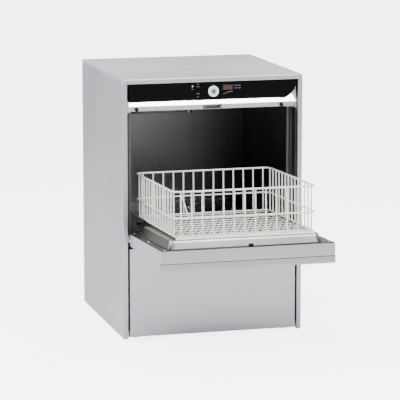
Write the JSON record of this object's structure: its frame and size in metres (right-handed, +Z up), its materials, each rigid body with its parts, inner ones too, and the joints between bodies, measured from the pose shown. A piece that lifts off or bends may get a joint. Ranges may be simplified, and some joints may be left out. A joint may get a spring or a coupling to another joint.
{
  "type": "commercial dishwasher",
  "caption": "Undercounter commercial dishwasher with a drop-down door, wire rack that rides in as the door shuts, spinning spray arms, pump, boiler and pressable controls.",
  "frame": {"origin": "floor level, centre of the cabinet's width, in the plane of the cabinet's front face", "axes": "+X to the machine's right seen from the front, +Y from the front into the machine, +Z up"},
  "size_m": [0.6, 1.0334, 0.85],
  "materials": {
    "steel_outer": "brushed, satin",
    "steel_chamber": "deep-drawn, dull",
    "steel_structure": "mill finish",
    "steel_bright": "polished",
    "chrome_trim": "bright",
    "steel_spring": "drawn wire",
    "fascia_black": "gloss",
    "display_red": "smoked red lens",
    "button_white": "gloss",
    "lens_green": "translucent look",
    "board_green": "circuit board",
    "rubber_black": "matte",
    "plastic_grey": "moulded",
    "plastic_white": "moulded",
    "plastic_blue": "moulded",
    "motor_paint": "semi-gloss",
    "brass_valve": "cast",
    "rack_coat": "dip-coated wire"
  },
  "bodies": {
    "cabinet": {"side_panel_left": "steel_outer", "side_panel_right": "steel_outer", "top_panel": "steel_outer", "back_panel": "steel_structure", "back_panel_screws": "steel_bright", "base_tray": "steel_structure", "lower_front_panel": "steel_outer", "control_fascia": "fascia_black", "fascia_trim": "chrome_trim", "display_window": "display_red", "control_board": "board_green", "opening_frame": "steel_outer", "door_bumpers": "rubber_black", "door_gaskets": "rubber_black", "door_catch": "steel_structure", "chamber_shell": "steel_chamber", "wash_tank": "steel_chamber", "tank_heater": "steel_bright", "surface_filter": "steel_chamber", "pump_strainer": "steel_chamber", "overflow_pipe": "steel_bright", "rack_rail_left": "steel_chamber", "rack_rail_right": "steel_chamber", "lower_arm_post": "steel_bright", "upper_arm_post": "steel_bright", "riser_duct": "steel_structure", "pump_volute": "plastic_grey", "motor_housing": "motor_paint", "boiler": "steel_structure", "drain_pump": "plastic_grey", "drain_pipe": "plastic_white", "inlet_valve": "brass_valve", "cable_gland": "plastic_grey", "rinse_aid_doser": "plastic_blue", "hinge_brackets": "steel_structure", "door_springs": "steel_spring"},
    "door": {"door_outer_pan": "steel_outer", "door_inner_panel": "steel_chamber", "door_handle": "steel_outer", "door_screws": "steel_bright", "hinge_arms": "steel_structure", "hinge_pins": "steel_bright"},
    "rack_slider": {"rack_runner": "rack_coat"},
    "rack": {"rack_rim_wire": "rack_coat", "rack_middle_wire": "rack_coat", "rack_wall_wires": "rack_coat", "rack_floor_grid": "rack_coat"},
    "start_key": {"start_button": "button_white", "start_button_lens": "lens_green"},
    "power_key": {"power_button": "button_white"},
    "lower_wash_spray": {"lower_wash_arm": "steel_chamber"},
    "lower_rinse_spray": {"lower_rinse_arm": "steel_bright"},
    "upper_wash_spray": {"upper_wash_arm": "steel_chamber"},
    "upper_rinse_spray": {"upper_rinse_arm": "steel_bright"},
    "pump_rotor": {"motor_rotor": "steel_structure", "pump_impeller": "plastic_blue"},
    "foot_front_left": {"foot_front_left": "plastic_grey"},
    "foot_front_right": {"foot_front_right": "plastic_grey"},
    "foot_rear_left": {"foot_rear_left": "plastic_grey"},
    "foot_rear_right": {"foot_rear_right": "plastic_grey"}
  },
  "joints": [
    {"name": "door_hinge", "type": "hinge", "parent": "cabinet", "child": "door", "pos_m": [0, 0.02, 0.33], "axis": [-1, 0, 0], "range_deg": [0, 87], "deforming": ["door_springs"]},
    {"name": "rack_travel", "type": "slide", "parent": "door", "child": "rack_slider", "axis": [0, 0.9986, -0.0523], "range_m": [0, 0.3435]},
    {"name": "rack_level", "type": "hinge", "parent": "rack_slider", "child": "rack", "pos_m": [0, -0.36988, 0.3998], "axis": [1, 0, 0], "range_deg": [0, 89.32]},
    {"name": "lower_wash_spin", "type": "hinge", "parent": "cabinet", "child": "lower_wash_spray", "pos_m": [0, 0.315, 0.3564], "axis": [0, 0, 1], "continuous": true},
    {"name": "lower_rinse_spin", "type": "hinge", "parent": "cabinet", "child": "lower_rinse_spray", "pos_m": [0, 0.315, 0.368], "axis": [0, 0, 1], "continuous": true},
    {"name": "upper_wash_spin", "type": "hinge", "parent": "cabinet", "child": "upper_wash_spray", "pos_m": [0, 0.315, 0.714], "axis": [0, 0, 1], "continuous": true},
    {"name": "upper_rinse_spin", "type": "hinge", "parent": "cabinet", "child": "upper_rinse_spray", "pos_m": [0, 0.315, 0.7016], "axis": [0, 0, 1], "continuous": true},
    {"name": "pump_spin", "type": "hinge", "parent": "cabinet", "child": "pump_rotor", "pos_m": [0.11, 0.315, 0.15], "axis": [0, 0, 1], "continuous": true},
    {"name": "start_press", "type": "slide", "parent": "cabinet", "child": "start_key", "axis": [0, 1, 0], "range_m": [0, 0.0022], "stiffness_N_per_m": 500},
    {"name": "power_press", "type": "slide", "parent": "cabinet", "child": "power_key", "axis": [0, 1, 0], "range_m": [0, 0.0015], "stiffness_N_per_m": 400},
    {"name": "foot_front_left_screw", "type": "slide", "parent": "cabinet", "child": "foot_front_left", "axis": [0, 0, -1], "range_m": [0, 0.025]},
    {"name": "foot_front_right_screw", "type": "slide", "parent": "cabinet", "child": "foot_front_right", "axis": [0, 0, -1], "range_m": [0, 0.025]},
    {"name": "foot_rear_left_screw", "type": "slide", "parent": "cabinet", "child": "foot_rear_left", "axis": [0, 0, -1], "range_m": [0, 0.025]},
    {"name": "foot_rear_right_screw", "type": "slide", "parent": "cabinet", "child": "foot_rear_right", "axis": [0, 0, -1], "range_m": [0, 0.025]}
  ],
  "couplings": [
    {"joint": "rack_travel", "follows": "door_hinge", "m_per_rad": 0.22589},
    {"joint": "rack_level", "follows": "door_hinge", "ratio": 1.0261}
  ]
}
